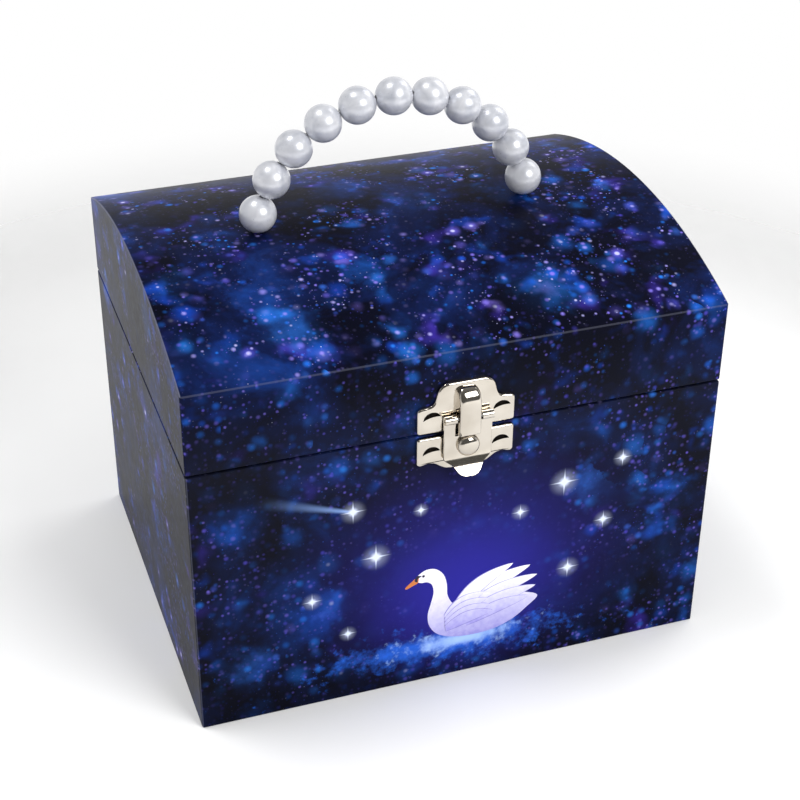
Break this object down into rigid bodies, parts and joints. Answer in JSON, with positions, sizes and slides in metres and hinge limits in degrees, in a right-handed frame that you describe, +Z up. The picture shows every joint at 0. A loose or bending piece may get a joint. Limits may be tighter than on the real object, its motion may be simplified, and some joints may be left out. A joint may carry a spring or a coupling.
{
  "type": "musical jewellery box",
  "caption": "Domed-lid jewellery box covered in starry printed paper, with a bead handle, hasp latch, lined well and a wind-up musical movement that turns a dancer.",
  "frame": {"origin": "middle of the underside of the box, on the surface it stands on", "axes": "+X to the right as seen from the latch side, +Y to the back where the hinges are, +Z up"},
  "size_m": [0.165, 0.1395, 0.1749],
  "materials": {
    "printed_paper": "satin laminated printed paper, dark blue starfield",
    "fibreboard": "raw sanded fibreboard",
    "velvet": "flocked violet velvet",
    "lining_paper": "soft lavender lining paper",
    "pearl": "pearlised coating on moulded beads",
    "nickel": "polished nickel plate on pressed steel",
    "steel": "drawn and ground steel",
    "brass": "turned and cut brass",
    "zinc": "die-cast zinc",
    "mirror_glass": "silvered glass",
    "silver_card": "silver foil on card",
    "doll_plastic": "moulded and painted doll plastic",
    "tulle": "gathered tulle",
    "white_plastic": "moulded white plastic"
  },
  "bodies": {
    "base": {"base_back_panel": "fibreboard", "base_front_panel": "fibreboard", "base_left_panel": "fibreboard", "base_lining": "lining_paper", "base_right_panel": "fibreboard", "base_wrap": "printed_paper", "bottom_board": "fibreboard", "comb": "steel", "comb_block": "zinc", "comb_screws": "steel", "cylinder_bearings": "brass", "deck_board": "fibreboard", "deck_cover": "velvet", "deck_riser": "velvet", "governor_bracket": "brass", "hinge_base_leaves": "nickel", "hinge_base_nails": "nickel", "hinge_pins": "steel", "latch_catch": "nickel", "latch_lower_plate": "nickel", "movement_bedplate": "zinc", "movement_screws": "steel", "ring_cushion": "velvet", "spindle_collar": "brass", "well_divider": "velvet", "well_floor_pad": "velvet"},
    "lid": {"lid_front_rail": "fibreboard", "lid_back_rail": "fibreboard", "lid_left_end": "fibreboard", "lid_right_end": "fibreboard", "lid_top_panel": "fibreboard", "lid_wrap": "printed_paper", "lid_inner_board": "lining_paper", "mirror": "mirror_glass", "mirror_frame": "silver_card", "handle_beads": "pearl", "handle_wire": "steel", "handle_washers": "nickel", "handle_crimps": "steel", "hinge_lid_leaves": "nickel", "hinge_lid_nails": "nickel", "latch_upper_plate": "nickel", "latch_hood": "nickel", "latch_pin": "steel"},
    "hasp": {"latch_hasp": "nickel", "latch_button": "nickel"},
    "key": {"winding_key": "nickel", "winding_arbor": "steel"},
    "barrel": {"spring_barrel": "brass", "barrel_cover": "brass", "mainspring": "steel"},
    "cylinder": {"music_cylinder": "brass", "cylinder_wheel": "brass"},
    "governor": {"governor_worm": "steel", "governor_fan": "brass"},
    "dancer": {"dancer_spindle": "steel", "dancer_stand": "white_plastic", "dancer_figure": "doll_plastic", "dancer_tutu": "tulle"},
    "stop": {"stop_rod": "steel"}
  },
  "joints": [
    {"name": "lid_hinge", "type": "hinge", "parent": "base", "child": "lid", "pos_m": [0, 0.0668, 0.0925], "axis": [-1, 0, 0], "range_deg": [0, 100]},
    {"name": "hasp_swing", "type": "hinge", "parent": "lid", "child": "hasp", "pos_m": [0, -0.0682, 0.098], "axis": [-1, 0, 0], "range_deg": [0, 110]},
    {"name": "key_turn", "type": "hinge", "parent": "base", "child": "key", "pos_m": [-0.0216, 0.03, 0.02], "axis": [0, 0, -1], "continuous": true},
    {"name": "barrel_spin", "type": "hinge", "parent": "base", "child": "barrel", "pos_m": [-0.0216, 0.03, 0.02], "axis": [0, 0, 1], "continuous": true},
    {"name": "cylinder_spin", "type": "hinge", "parent": "base", "child": "cylinder", "pos_m": [-0.05, 0.03, 0.0375], "axis": [1, 0, 0], "continuous": true},
    {"name": "governor_spin", "type": "hinge", "parent": "base", "child": "governor", "pos_m": [-0.066, 0.0209, 0.03], "axis": [0, 0, 1], "continuous": true},
    {"name": "dancer_spin", "type": "hinge", "parent": "base", "child": "dancer", "pos_m": [0, 0.03, 0.02], "axis": [0, 0, 1], "continuous": true},
    {"name": "stop_slide", "type": "slide", "parent": "base", "child": "stop", "axis": [0, 0, 1], "range_m": [0, 0.005]}
  ],
  "couplings": [
    {"joint": "cylinder_spin", "follows": "barrel_spin", "ratio": -3},
    {"joint": "governor_spin", "follows": "barrel_spin", "ratio": -90},
    {"joint": "dancer_spin", "follows": "barrel_spin", "ratio": -2},
    {"joint": "stop_slide", "follows": "lid_hinge", "m_per_rad": 0.00286}
  ]
}
